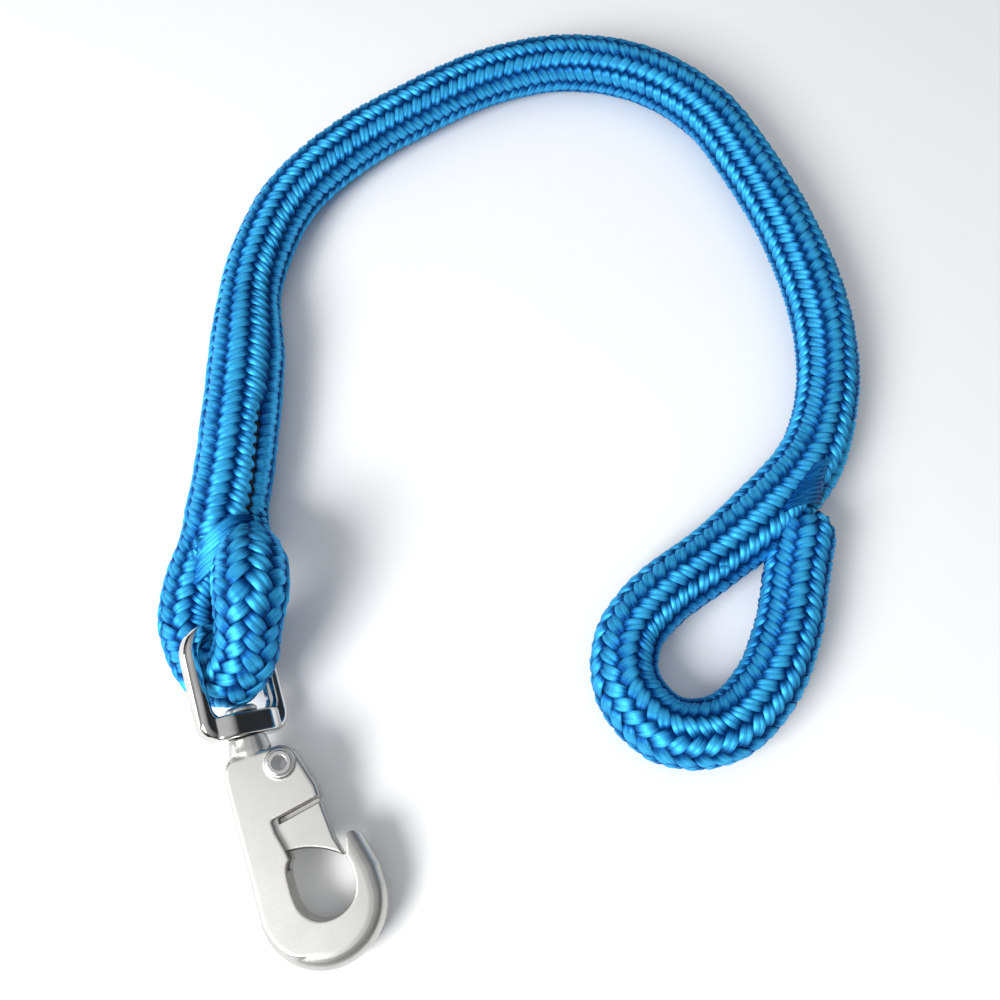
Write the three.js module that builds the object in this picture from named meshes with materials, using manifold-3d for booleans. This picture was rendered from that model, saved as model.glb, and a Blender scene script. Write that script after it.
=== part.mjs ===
// A short braided rope lanyard with an eye spliced at each end. The swivel snap hook
// hangs in one eye. The other eye is left free. Millimetres, +Z up, lying on z = 0,
// with the origin under the middle of its box.

import * as THREE from 'three';
import { mergeVertices } from 'three/addons/utils/BufferGeometryUtils.js';
import Module from 'manifold-3d';

const wasm = await Module();
wasm.setup();

// ---------------------------------------------------------------- driving dimensions

const GAP = 0.3; // between pieces that touch

// rope
const ROPE_DIAMETER = 20;
const EYE_ROPE_DIAMETER = 18.4; // the hook eye, squeezed where the bail holds it
const COVER_WALL = 3.4;
const CORE_GAP = 0.7; // slack of the inner braid in the outer one
const ROPE_SIDES = 12;
const HOOK_EYE_STEPS = 28;
const MAIN_STEPS = 30;
const FREE_EYE_STEPS = 26;
const HOOK_EYE_LENGTH = 122; // rope length from the buried end to the main stretch
const FREE_EYE_LENGTH = 154;
const HOOK_CORE_SKIP = 4; // steps of the buried end that the core is cut back by
const FREE_CORE_SKIP = 1;

// the rope's centreline, from the end buried at the hook eye to the one at the free eye
const ROUTE = [
  [-84.6, -15, 9.3],
  [-83.8, -29, 11],
  [-81.2, -42, 17.6],
  [-78.6, -53, 24.8],
  [-77.1, -63, 28],
  [-77.3, -71, 26.5],
  [-78.4, -77.6, 22.6],
  [-83, -81.6, 16.8],
  [-90.1, -79.2, 10.9],
  [-94.8, -73.2, 9.5],
  [-98, -64.5, 9.6],
  [-97.2, -54, 10],
  [-94.2, -41, 10],
  [-92.2, -21, 10],
  [-91.6, 5, 10],
  [-91.5, 33, 10],
  [-89, 61, 10],
  [-80, 87, 10],
  [-62, 108.5, 10],
  [-38, 126.5, 10],
  [-12, 141.3, 10],
  [16, 148, 10],
  [43, 142.8, 10],
  [65, 126, 10],
  [79.5, 100, 10],
  [91, 70, 10],
  [97.2, 39, 10],
  [96, 11, 10],
  [87, -14, 10],
  [71, -32, 10],
  [54, -46, 10],
  [38.5, -57.5, 10],
  [29, -70, 10],
  [28.5, -84, 10],
  [39, -95.8, 10],
  [54.5, -95.5, 10],
  [67, -84.5, 10.1],
  [75.5, -67, 10.1],
  [80, -49, 10.2],
  [84.5, -32, 11.2],
];

// lock stitching, as shares of each eye's rope length
const HOOK_EYE_STITCHED = [0.02, 0.24];
const FREE_EYE_STITCHED = [0.99, 0.88];
const THREAD_DIAMETER = 1.2;
const THREAD_SIDES = 6;
const STITCH_PITCH = 7;
const STITCH_WANDER = 0.8;
const STITCH_ROOM = 0.5; // between the thread and the rope
const STITCH_LIFT = 0.1; // step by which the thread is raised until it has that room
const NEAREST_STEPS = 400;

// where the hook lies: its swivel line runs out of the hook eye and down to the floor
const HOOK_PLACE = [-76.2, -103.6, 13.8];
const HOOK_YAW = 17;
const HOOK_PITCH = 7.3;
const BAIL_TURN = 45;

// bail
const BAIL_BAR_WIDTH = 5;
const BAIL_THICKNESS = 5.2;
const BAIL_OPENING_WIDTH = 19;
const BAIL_REACH = 35.5; // shoulder of the hook to the middle of the top bar
const BAIL_EDGE_ROUND = 1.5;
const BRIDGE_DEPTH = 6.5;
const BRIDGE_WALL = 2; // round the shank's bore
const BRIDGE_BLOCK_HALF = 5.5; // from the bore's middle to where the block rounds off

// swivel shank, forged in one with the hook body
const NECK_BASE_DIAMETER = 12;
const NECK_LENGTH = 4.7;
const SHANK_DIAMETER = 6;
const NECK_SHOULDER = 2.2; // step from the shank out to the neck below it
const HEAD_SHOULDER = 1.5; // and out to the head above it
const SHANK_HEAD_DEPTH = 1.8;
const SHANK_HEAD_EDGE = 0.8;

// hook body, seen on its flat face: x across, y towards the rope
const BODY_THICKNESS = 12;
const BODY_EDGE = 0.8;
const BOW_ROUND = 4.6;
const BOW_ROUND_STEPS = 6;
const BAR_LEFT = -7.6;
const BOW_CENTRE = [9.7, -42.4];
const BOW_RADIUS = 17;
const NOSE_TOP = -27;
const SKIN = 1.5; // wall over the gate, on each face
const BOSS_HEIGHT = 1;
const BOSS_WALL = 1; // round the pin's hole
const SHOULDER_ROUND = 2.8;

// gate
const PIN_AT = [7.8, -4.8];
const PIN_DIAMETER = 5.4;
const PIN_WALL = 0.7;
const PIN_RIM = 0.7;
const PIN_RIM_EDGE = 0.3;
const GATE_HUB_WALL = 1.4; // round the pin
const GATE_EDGE = 0.5;
const SLOT_WIDTH = 1.5;
const SLOT_DEPTH = 3.2;

// return spring
const SPRING_WIRE = 0.8;
const SPRING_TURNS = 2.25;
const SPRING_SLACK = 0.65; // between the coil and the pin
const SPRING_CLOSENESS = 1.15; // pitch of the coil, in wire thicknesses
const SPRING_SIDES = 6;

// ---------------------------------------------------------------- shapes and solids

const rad = THREE.MathUtils.degToRad;
const ARC_STEPS = 12;

/** A closed three.js geometry as a manifold solid. */
function solid(geometry) {
  const bare = geometry.index ? geometry.toNonIndexed() : geometry.clone();
  bare.deleteAttribute('normal');
  bare.deleteAttribute('uv');
  const merged = mergeVertices(bare, 1e-4);
  const mesh = new wasm.Mesh({
    numProp: 3,
    vertProperties: new Float32Array(merged.attributes.position.array),
    triVerts: new Uint32Array(merged.index.array),
  });
  return new wasm.Manifold(mesh);
}

/** A manifold solid back as a three.js geometry. */
function geometryOf(body) {
  const mesh = body.getMesh();
  const geometry = new THREE.BufferGeometry();
  const places = new Float32Array(mesh.vertProperties);
  geometry.setAttribute('position', new THREE.BufferAttribute(places, 3));
  geometry.setIndex(new THREE.BufferAttribute(new Uint32Array(mesh.triVerts), 1));
  return geometry;
}

function union(...bodies) {
  return bodies.reduce((whole, body) => whole.add(body));
}

/** An outline as a plate from low to high, its outer edges taken off by `edge`. */
function plate(shape, low, high, edge = 0, edgeSteps = 1) {
  const geometry = new THREE.ExtrudeGeometry(shape, {
    depth: high - low - 2 * edge,
    curveSegments: ARC_STEPS,
    bevelEnabled: edge > 0,
    bevelThickness: edge,
    bevelSize: edge,
    bevelOffset: -edge,
    bevelSegments: edgeSteps,
  });
  geometry.translate(0, 0, low + edge);
  return solid(geometry);
}

function outline(points) {
  return new THREE.Shape(points.map(([x, y]) => new THREE.Vector2(x, y)));
}

/** A smooth closed outline through a few points. */
function smoothOutline(points, divisions) {
  const corners = points.map(([x, y]) => new THREE.Vector3(x, y, 0));
  const line = new THREE.CatmullRomCurve3(corners, true, 'centripetal');
  return outline(line.getPoints(divisions).slice(0, -1).map((p) => [p.x, p.y]));
}

function roundedBox(halfWidth, low, high, lowRound, highRound) {
  const shape = new THREE.Shape();
  shape.absarc(halfWidth - highRound, high - highRound, highRound, 0, Math.PI / 2);
  shape.absarc(-halfWidth + highRound, high - highRound, highRound, Math.PI / 2, Math.PI);
  shape.absarc(-halfWidth + lowRound, low + lowRound, lowRound, Math.PI, 1.5 * Math.PI);
  shape.absarc(halfWidth - lowRound, low + lowRound, lowRound, 1.5 * Math.PI, 2 * Math.PI);
  shape.closePath();
  return shape;
}

/** A round bar across the plates, standing on (x, y). */
function pillar([x, y], radius, low, high, sides = 24) {
  const geometry = new THREE.CylinderGeometry(radius, radius, high - low, sides);
  geometry.rotateX(Math.PI / 2);
  geometry.translate(x, y, (low + high) / 2);
  return solid(geometry);
}

function circle(radius) {
  return new THREE.Path().absarc(0, 0, radius, 0, 2 * Math.PI);
}

// ---------------------------------------------------------------- rope

const routeCurve = new THREE.CatmullRomCurve3(
  ROUTE.map(([x, y, z]) => new THREE.Vector3(x, y, z)), false, 'centripetal');
routeCurve.arcLengthDivisions = 4000;
const ROPE_LENGTH = routeCurve.getLength();

/** The stretch of the rope's centreline between two distances from its first end. */
class Stretch extends THREE.Curve {
  constructor(from, to) {
    super();
    this.from = from / ROPE_LENGTH;
    this.to = to / ROPE_LENGTH;
  }

  getPoint(t, target = new THREE.Vector3()) {
    return routeCurve.getPointAt(this.from + (this.to - this.from) * t, target);
  }
}

function tube(path, radius, boreRadius, steps, sides = ROPE_SIDES) {
  const section = new THREE.Shape();
  section.absarc(0, 0, radius, 0, 2 * Math.PI);
  if (boreRadius > 0) section.holes.push(circle(boreRadius));
  return new THREE.ExtrudeGeometry(section, {
    steps,
    curveSegments: sides / 2,
    extrudePath: path,
    bevelEnabled: false,
  });
}

const ropeRadius = ROPE_DIAMETER / 2;
const eyeRadius = EYE_ROPE_DIAMETER / 2;
const hookEyeEnd = HOOK_EYE_LENGTH - GAP;
const mainEnd = ROPE_LENGTH - FREE_EYE_LENGTH;
const freeEyeStart = mainEnd + GAP;
const hookCoreSteps = HOOK_EYE_STEPS - HOOK_CORE_SKIP;
const freeCoreSteps = FREE_EYE_STEPS - FREE_CORE_SKIP;
const mainPath = new Stretch(HOOK_EYE_LENGTH, mainEnd);
const hookEyePath = new Stretch(0, hookEyeEnd);
const freeEyePath = new Stretch(freeEyeStart, ROPE_LENGTH);
const mainWithRoom = solid(tube(mainPath, ropeRadius + GAP, 0, MAIN_STEPS));

function coverGeometry(path, radius, steps, cutter) {
  const cover = tube(path, radius, radius - COVER_WALL, steps);
  return cutter ? geometryOf(solid(cover).subtract(cutter)) : cover;
}

function coreGeometry(path, radius, steps, cutter) {
  const core = tube(path, radius - COVER_WALL - CORE_GAP, 0, steps);
  return cutter ? geometryOf(solid(core).subtract(cutter)) : core;
}

/** The point of a path that lies nearest to a place. */
function nearestOn(path, place) {
  let nearest = path.getPoint(0);
  for (let i = 1; i <= NEAREST_STEPS; i += 1) {
    const next = path.getPoint(i / NEAREST_STEPS);
    if (next.distanceTo(place) < nearest.distanceTo(place)) nearest = next;
  }
  return nearest;
}

/** The valley between a buried end and the main rope, with room for a thread in it. */
function valley(buriedPath, t, buriedRadius) {
  const end = buriedPath.getPointAt(t);
  const nearest = nearestOn(mainPath, end);
  const room = STITCH_ROOM + THREAD_DIAMETER / 2;
  const toMain = ropeRadius + room;
  const toEnd = buriedRadius + room;
  const across = end.clone().sub(nearest);
  const gap = across.length();
  const run = (gap * gap + toMain * toMain - toEnd * toEnd) / (2 * gap);
  const rise = Math.sqrt(Math.max(toMain * toMain - run * run, 0));
  const along = buriedPath.getTangentAt(t);
  const out = across.clone().cross(along).normalize();
  if (out.z < 0) out.negate();
  const place = nearest.addScaledVector(across.normalize(), run).addScaledVector(out, rise);
  while (nearestOn(mainPath, place).distanceTo(place) < toMain
    || nearestOn(buriedPath, place).distanceTo(place) < toEnd) place.z += STITCH_LIFT;
  return place;
}

/** One waxed thread, sewn to and fro along the valley beside a buried end. */
function stitchingGeometry(buriedPath, [from, to], buriedRadius) {
  const count = Math.round((Math.abs(to - from) * buriedPath.getLength()) / (STITCH_PITCH / 2));
  const points = [];
  for (let i = 0; i <= count; i += 1) {
    const place = valley(buriedPath, from + ((to - from) * i) / count, buriedRadius);
    points.push(place.setZ(place.z + STITCH_WANDER * (1 + (i % 2 ? 1 : 0))));
  }
  const path = new THREE.CatmullRomCurve3(points, false, 'centripetal');
  return tube(path, THREAD_DIAMETER / 2, 0, count * 3, THREAD_SIDES);
}

// ---------------------------------------------------------------- bail

function bailGeometry() {
  const half = BAIL_OPENING_WIDTH / 2;
  const low = NECK_LENGTH + GAP;
  const high = BAIL_REACH + BAIL_BAR_WIDTH / 2;
  const face = BAIL_THICKNESS / 2;
  const frame = plate(
    roundedBox(half + BAIL_BAR_WIDTH, low, high, 5.5, 9), -face, face, BAIL_EDGE_ROUND, 2);
  const inside = roundedBox(half, low + BRIDGE_DEPTH, high - BAIL_BAR_WIDTH, 3, 5);
  const opening = plate(inside, -face - 1, face + 1);
  const sink = BAIL_EDGE_ROUND;
  const mouth = new THREE.ExtrudeGeometry(inside, {
    depth: sink,
    curveSegments: ARC_STEPS,
    bevelEnabled: true,
    bevelThickness: sink,
    bevelSize: sink,
    bevelSegments: 2,
  });
  const upper = mouth.clone().translate(0, 0, face);
  const lower = mouth.clone().rotateY(Math.PI).translate(0, 0, -face);
  const boreRadius = SHANK_DIAMETER / 2 + GAP;
  const round = boreRadius + BRIDGE_WALL;
  const blockOutline = new THREE.Shape();
  blockOutline.absarc(BRIDGE_BLOCK_HALF, 0, round, -Math.PI / 2, Math.PI / 2);
  blockOutline.absarc(-BRIDGE_BLOCK_HALF, 0, round, Math.PI / 2, 1.5 * Math.PI);
  const block = plate(blockOutline, low, low + BRIDGE_DEPTH, BAIL_EDGE_ROUND / 2, 2)
    .rotate([-90, 0, 0]);
  const bore = new THREE.CylinderGeometry(boreRadius, boreRadius, 2 * BRIDGE_DEPTH, 24);
  bore.translate(0, low + BRIDGE_DEPTH / 2, 0);
  const ring = frame.subtract(opening).subtract(solid(upper)).subtract(solid(lower));
  return geometryOf(ring.add(block).subtract(solid(bore)));
}

// ---------------------------------------------------------------- hook body

const face = BODY_THICKNESS / 2;
const pocketHalf = face - SKIN;
const pinHole = PIN_DIAMETER / 2 + GAP;
const gateHub = pinHole + GATE_HUB_WALL;

/** The bar, its shoulder and the cheeks round the pin, without the bow. */
function barOutline() {
  const shape = new THREE.Shape();
  const turn = BAR_LEFT + SHOULDER_ROUND;
  shape.moveTo(9, -53.8);
  shape.quadraticCurveTo(-3, -57.8, -6.6, -44);
  shape.lineTo(BAR_LEFT, -7);
  shape.quadraticCurveTo(BAR_LEFT, -1, turn, 0);
  shape.lineTo(PIN_AT[0], 0);
  shape.absarc(PIN_AT[0], PIN_AT[1], -PIN_AT[1], rad(90), rad(20), true);
  shape.lineTo(15.6, -13);
  shape.lineTo(15.8, -16);
  shape.lineTo(8, -26);
  shape.lineTo(9, -50);
  shape.closePath();
  return shape;
}

/** The whole round of the bow, filled in and run on past the nose, which the mouth cuts. */
function bowOutline() {
  const [x, y] = BOW_CENTRE;
  const shape = new THREE.Shape();
  shape.moveTo(BAR_LEFT + 0.8, -24);
  shape.lineTo(-6.9, y - 2.5);
  shape.absarc(x, y, BOW_RADIUS, rad(192), rad(360), false);
  shape.lineTo(26.4, -37);
  shape.lineTo(22.4, NOSE_TOP + 4);
  shape.closePath();
  return shape;
}

function windowOutline() {
  return smoothOutline([
    [3.6, -30.2], [8, -28.4], [14.6, -29.6], [18.6, -33], [19.6, -38.4], [18, -43.6],
    [13.4, -46.6], [7.8, -46.4], [4, -43], [2.8, -37],
  ], 48);
}

/** What is cut right through for the gate: below the cheeks, up to and over the nose. */
function mouthOutline() {
  const shape = new THREE.Shape();
  shape.moveTo(2, -18.7);
  shape.lineTo(17.4, -15.5);
  shape.lineTo(30, -15.5);
  shape.lineTo(30, NOSE_TOP - 4);
  shape.lineTo(24.8, NOSE_TOP - 4);
  shape.quadraticCurveTo(23.8, NOSE_TOP, 21.7, NOSE_TOP);
  shape.quadraticCurveTo(20.2, NOSE_TOP, 19.8, NOSE_TOP - 1.6);
  shape.lineTo(18.6, -33.4);
  shape.lineTo(11, -34);
  shape.lineTo(4.4, -30);
  shape.lineTo(3.6, -26);
  shape.lineTo(2.4, -22);
  shape.closePath();
  return shape;
}

/** The slot between the two skins that the gate swings in. */
function pocketOutline() {
  return outline([
    [5.6, 1], [4.4, -1.2], [2.8, -4.2], [1.4, -6.5], [-4.6, -13.5], [-4.6, -27.5],
    [3.4, -32.8], [9, -33], [18, -22], [18, 1],
  ]);
}

/** Neck, shank and riveted head, turned about the swivel line. */
function shankSolid() {
  const low = NECK_LENGTH;
  const seat = low + 2 * GAP + BRIDGE_DEPTH;
  const top = seat + SHANK_HEAD_DEPTH;
  const base = NECK_BASE_DIAMETER / 2;
  const shank = SHANK_DIAMETER / 2;
  const neckTop = shank + NECK_SHOULDER;
  const head = shank + HEAD_SHOULDER;
  const profile = [
    [0, -4], [base, -4], [base, 1], [neckTop, low], [shank, low], [shank, seat],
    [head, seat], [head, top - SHANK_HEAD_EDGE], [head - SHANK_HEAD_EDGE, top], [0, top],
  ];
  return solid(new THREE.LatheGeometry(profile.map(([x, y]) => new THREE.Vector2(x, y)), 24));
}

function hookBodyGeometry() {
  const bar = plate(barOutline(), -face, face, BODY_EDGE);
  const bow = plate(bowOutline(), -face, face, BOW_ROUND, BOW_ROUND_STEPS);
  const bosses = pillar(PIN_AT, pinHole + BOSS_WALL, -face - BOSS_HEIGHT, face + BOSS_HEIGHT);
  const whole = union(bar, bow, bosses, shankSolid());
  const opened = whole
    .subtract(plate(windowOutline(), -face - 1, face + 1))
    .subtract(plate(mouthOutline(), -face - 1, face + 1))
    .subtract(plate(pocketOutline(), -pocketHalf, pocketHalf))
    .subtract(pillar(PIN_AT, gateHub + 2 * GAP, -pocketHalf, pocketHalf));
  const hole = pillar(PIN_AT, pinHole, -face - 2, face + 2);
  return geometryOf(opened.subtract(hole));
}

// ---------------------------------------------------------------- gate, pin and spring

const springRadius = PIN_DIAMETER / 2 + SPRING_SLACK + SPRING_WIRE / 2;

function gateOutline() {
  const [x, y] = PIN_AT;
  const shape = new THREE.Shape();
  shape.absarc(x, y, gateHub, rad(10), rad(185), false);
  shape.lineTo(0.9, -19);
  shape.lineTo(2.6, -27.6);
  shape.quadraticCurveTo(11, -27, 18, -32.6);
  shape.lineTo(16.6, -27.4);
  shape.lineTo(15.4, -17.5);
  shape.closePath();
  return shape;
}

function gateGeometry() {
  const half = pocketHalf - GAP;
  const [x, y] = PIN_AT;
  const blank = plate(gateOutline(), -half, half, GATE_EDGE);
  const bore = pillar(PIN_AT, pinHole, -half - 1, half + 1);
  const springRoom = springRadius + SPRING_WIRE / 2 + GAP;
  const kerfHalf = (SPRING_TURNS * SPRING_CLOSENESS + 1) * SPRING_WIRE / 2 + GAP;
  const kerf = plate(outline([
    [x - 12, y + 8], [x - 12, y - 13], [x - 4, y - 13], [x + springRoom * 0.6, y - springRoom],
    [x + springRoom, y - 1], [x + springRoom, y + 8],
  ]), -kerfHalf, kerfHalf);
  const slot = outline([
    [3.6, -20], [16.8, -17.2], [16.8, -17.2 + SLOT_WIDTH], [3.6, -20 + SLOT_WIDTH],
  ]);
  const front = plate(slot, half - SLOT_DEPTH, half + 1);
  const back = plate(slot, -half - 1, -half + SLOT_DEPTH);
  return geometryOf(blank.subtract(bore).subtract(kerf).subtract(front).subtract(back));
}

/** A tubular rivet with both rims rolled over. */
function pinGeometry() {
  const out = PIN_DIAMETER / 2;
  const bore = out - PIN_WALL;
  const seat = face + BOSS_HEIGHT + GAP;
  const top = seat + PIN_RIM;
  const rim = out + PIN_RIM;
  const edge = top - PIN_RIM_EDGE;
  const profile = [
    [bore, -top], [rim - PIN_RIM_EDGE, -top], [rim, -edge], [rim, -seat], [out, -seat],
    [out, seat], [rim, seat], [rim, edge], [rim - PIN_RIM_EDGE, top], [bore, top], [bore, -top],
  ];
  const turned = new THREE.LatheGeometry(profile.map(([x, y]) => new THREE.Vector2(x, y)), 24);
  turned.rotateX(Math.PI / 2);
  turned.translate(PIN_AT[0], PIN_AT[1], 0);
  return turned;
}

/** A wound wire spring round the pin, its leg lying along the gate. */
function springGeometry() {
  const [x, y] = PIN_AT;
  const points = [];
  const stepsPerTurn = 12;
  const steps = SPRING_TURNS * stepsPerTurn;
  const pitch = (SPRING_WIRE * SPRING_CLOSENESS) / stepsPerTurn;
  const low = (-steps * pitch) / 2;
  points.push(new THREE.Vector3(x - springRadius - 1.2, y - 9, low));
  points.push(new THREE.Vector3(x - springRadius - 0.4, y - 4.5, low));
  for (let i = 0; i <= steps; i += 1) {
    const angle = rad(180) - (i * rad(360)) / stepsPerTurn;
    const across = springRadius * Math.cos(angle);
    const along = springRadius * Math.sin(angle);
    points.push(new THREE.Vector3(x + across, y + along, low + i * pitch));
  }
  const path = new THREE.CatmullRomCurve3(points, false, 'centripetal');
  return tube(path, SPRING_WIRE / 2, 0, steps + 8, SPRING_SIDES);
}

// ---------------------------------------------------------------- assembly

const finishes = {
  cover: { color: 0x2370b1, roughness: 0.5, metalness: 0 },
  core: { color: 0x2a78bd, roughness: 0.6, metalness: 0 },
  thread: { color: 0x1b1a1a, roughness: 0.7, metalness: 0 },
  satin: { color: 0xcfcfca, roughness: 0.38, metalness: 1 },
  polished: { color: 0xb9b9b6, roughness: 0.15, metalness: 1 },
  wire: { color: 0xa8a8a6, roughness: 0.25, metalness: 1 },
};

function piece(name, geometry, finish) {
  const mesh = new THREE.Mesh(geometry, new THREE.MeshStandardMaterial(finishes[finish]));
  mesh.name = name;
  return mesh;
}

const hookCoreStart = (hookEyeEnd * HOOK_CORE_SKIP) / HOOK_EYE_STEPS;
const hookCore = new Stretch(hookCoreStart, hookEyeEnd);
const freeCoreEnd = freeEyeStart + ((ROPE_LENGTH - freeEyeStart) * freeCoreSteps) / FREE_EYE_STEPS;
const freeCore = new Stretch(freeEyeStart, freeCoreEnd);

const rope = new THREE.Group();
rope.add(
  piece('rope_cover_main', coverGeometry(mainPath, ropeRadius, MAIN_STEPS), 'cover'),
  piece('rope_core_main', coreGeometry(mainPath, ropeRadius, MAIN_STEPS), 'core'),
  piece('rope_cover_hook_eye',
    coverGeometry(hookEyePath, eyeRadius, HOOK_EYE_STEPS, mainWithRoom), 'cover'),
  piece('rope_core_hook_eye',
    coreGeometry(hookCore, eyeRadius, hookCoreSteps, mainWithRoom), 'core'),
  piece('rope_cover_free_eye',
    coverGeometry(freeEyePath, ropeRadius, FREE_EYE_STEPS, mainWithRoom), 'cover'),
  piece('rope_core_free_eye',
    coreGeometry(freeCore, ropeRadius, freeCoreSteps, mainWithRoom), 'core'),
  piece('hook_eye_lock_stitching',
    stitchingGeometry(hookEyePath, HOOK_EYE_STITCHED, eyeRadius), 'thread'),
  piece('free_eye_lock_stitching',
    stitchingGeometry(freeEyePath, FREE_EYE_STITCHED, ropeRadius), 'thread'),
);

const bail = new THREE.Group();
bail.rotation.y = rad(BAIL_TURN);
bail.add(piece('swivel_bail', bailGeometry(), 'polished'));

const hook = new THREE.Group();
hook.position.set(...HOOK_PLACE);
hook.rotation.set(rad(HOOK_PITCH), 0, rad(HOOK_YAW), 'ZXY');
hook.add(
  bail,
  piece('hook_body', hookBodyGeometry(), 'satin'),
  piece('gate', gateGeometry(), 'satin'),
  piece('gate_pin', pinGeometry(), 'polished'),
  piece('gate_spring', springGeometry(), 'wire'),
);

const lanyard = new THREE.Group();
lanyard.name = 'rope_lanyard_with_swivel_hook';
lanyard.add(rope, hook);

export default lanyard;
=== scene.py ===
# A short lanyard of thick blue braided rope. Each end is turned back and spliced into an
# eye: a swivel snap hook of stainless steel hangs in one, the other is left free.
# It lies on a pale floor. Lengths are in metres, except that the rope, the twine and the
# spring are laid out in millimetres, in the same frame.

import math

import bpy
import numpy as np
from mathutils import Matrix, Vector


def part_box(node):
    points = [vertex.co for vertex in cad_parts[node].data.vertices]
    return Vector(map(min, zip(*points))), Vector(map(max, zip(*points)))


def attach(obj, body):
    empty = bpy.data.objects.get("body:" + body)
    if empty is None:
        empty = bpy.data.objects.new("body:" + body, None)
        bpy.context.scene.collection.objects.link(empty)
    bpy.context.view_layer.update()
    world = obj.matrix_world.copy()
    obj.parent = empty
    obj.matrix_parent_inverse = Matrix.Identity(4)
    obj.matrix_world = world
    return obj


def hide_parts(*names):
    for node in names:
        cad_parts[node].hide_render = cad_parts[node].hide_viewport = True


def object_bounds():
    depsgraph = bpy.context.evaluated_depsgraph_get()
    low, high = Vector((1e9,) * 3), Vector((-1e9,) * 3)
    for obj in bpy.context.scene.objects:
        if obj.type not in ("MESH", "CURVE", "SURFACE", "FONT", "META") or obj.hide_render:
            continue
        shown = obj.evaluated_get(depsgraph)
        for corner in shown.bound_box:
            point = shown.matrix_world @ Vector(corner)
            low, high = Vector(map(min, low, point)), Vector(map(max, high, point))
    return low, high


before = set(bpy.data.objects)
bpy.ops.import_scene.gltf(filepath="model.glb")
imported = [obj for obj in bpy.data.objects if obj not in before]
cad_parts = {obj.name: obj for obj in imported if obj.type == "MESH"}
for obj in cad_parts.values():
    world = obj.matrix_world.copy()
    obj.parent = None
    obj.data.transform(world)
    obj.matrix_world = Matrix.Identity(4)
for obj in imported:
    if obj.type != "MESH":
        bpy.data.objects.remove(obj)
cad_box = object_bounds()


# ------------------------------------------------------------------ camera
# A hand-held camera with an ordinary lens, a third of a metre above the hook's end of the
# lanyard, looking down and along it.

CAMERA_PLACE = (-0.008, -0.157, 0.3187)
CAMERA_TILT = math.radians(23)
CAMERA_LENS = 39.6  # mm
CAMERA_NEAR = 0.01

camera = bpy.data.objects.new("camera", bpy.data.cameras.new("camera"))
camera.location = CAMERA_PLACE
camera.rotation_euler = (CAMERA_TILT, 0, 0)
camera.data.lens = CAMERA_LENS
camera.data.clip_start = CAMERA_NEAR
bpy.context.scene.collection.objects.link(camera)
bpy.context.scene.camera = camera


# ------------------------------------------------------------------ rope, main stretch
# The rope's outer braid: twenty strands of polyester, ten each way, two over and two under,
# each of two plump yarns laid side by side. It is braided round the inner braid on a machine,
# and it swells where the turned-back ends are buried in it. Each throat is sewn in a slit.

MM = 0.001  # metres
ROUTE = [  # the rope's middle line, from the end buried at the hook to the other, in mm
    (-84.6, -15, 9.3), (-83.8, -29, 11), (-81.2, -42, 17.6), (-78.6, -53, 24.8),
    (-77.1, -63, 28), (-77.3, -71, 26.5), (-78.4, -77.6, 22.6), (-83, -81.6, 16.8),
    (-90.1, -79.2, 10.9), (-94.8, -73.2, 9.5), (-98, -64.5, 9.6), (-97.2, -54, 10),
    (-94.2, -41, 10), (-92.2, -21, 10), (-91.6, 5, 10), (-91.5, 33, 10), (-89, 61, 10),
    (-80, 87, 10), (-62, 108.5, 10), (-38, 126.5, 10), (-12, 141.3, 10), (16, 148, 10),
    (43, 142.8, 10), (65, 126, 10), (79.5, 100, 10), (91, 70, 10), (97.2, 39, 10),
    (96, 11, 10), (87, -14, 10), (71, -32, 10), (54, -46, 10), (38.5, -57.5, 10),
    (29, -70, 10), (28.5, -84, 10), (39, -95.8, 10), (54.5, -95.5, 10), (67, -84.5, 10.1),
    (75.5, -67, 10.1), (80, -49, 10.2), (84.5, -32, 11.2),
]
ROPE_DIAMETER = 20.0
HOOK_EYE_LENGTH = 122.0
FREE_EYE_LENGTH = 154.0
STRANDS = 10  # each way
BRAID_PITCH = 38.0  # the rope that a strand takes to go once round it
STRAND_RISE = 0.8  # how far a strand swings out over the others, and in under them
STRAND_WIDTH = 3.4
STRAND_THICKNESS = 1.7
CROSSING_STEPS = 3.6  # rings along a strand from one crossing to the next
BRAID_SEED = 3  # the same for all three stretches, so that each strand carries on
TURN_WANDER = 0.035  # how unevenly a strand lies: round the rope, in radians,
RISE_WANDER = 0.08  # and in and out of it
# where the rope is swollen and pushed over by a buried end: it begins, is full, falls, ends
HOOK_SWELL_REACH = (122, 136, 190, 222)
HOOK_PUSH_REACH = (122, 134, 190, 222)
FREE_REACH = (560, 590, 604, 625)
HOOK_SWELL, FREE_SWELL = 0.22, 0.10  # how much thicker it is there
HOOK_PUSH, FREE_PUSH = (2.6, 0, 2.0), (0, 0, 1.0)  # how far it is pushed
# which way each throat's sewn slit faces, at its eye's end and at its far end
HOOK_SLIT = ((0.86, 0.0, 0.51), (0.66, 0.0, 0.75))
FREE_SLIT = ((0.85, -0.30, 0.45), (0.85, -0.30, 0.45))
# the yarn's blues: painted shade where a strand dives under the others, its own mid blue, and
# painted highlight over its crown
PAINTED_SHADE_BLUE = (0.0004, 0.017, 0.095, 1)
AZURE = (0.002, 0.095, 0.380, 1)
PAINTED_HIGHLIGHT_BLUE = (0.058, 0.530, 0.930, 1)
# a strand's section, from edge to edge over its two yarns and back beneath: across, out
TWO_YARNS = ((-1, 0), (-0.84, 0.55), (-0.52, 0.95), (-0.2, 0.88), (0, 0.6), (0.2, 0.88),
             (0.52, 0.95), (0.84, 0.55), (1, 0), (0.6, -0.75), (0, -0.9), (-0.6, -0.75))


def read_off(values, s, reached=None):
    """Places or directions read off at s, from values given along the rope or another line."""
    given_at = run if reached is None else reached
    return np.stack([np.interp(s, given_at, values[:, k]) for k in range(3)], -1)


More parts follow.
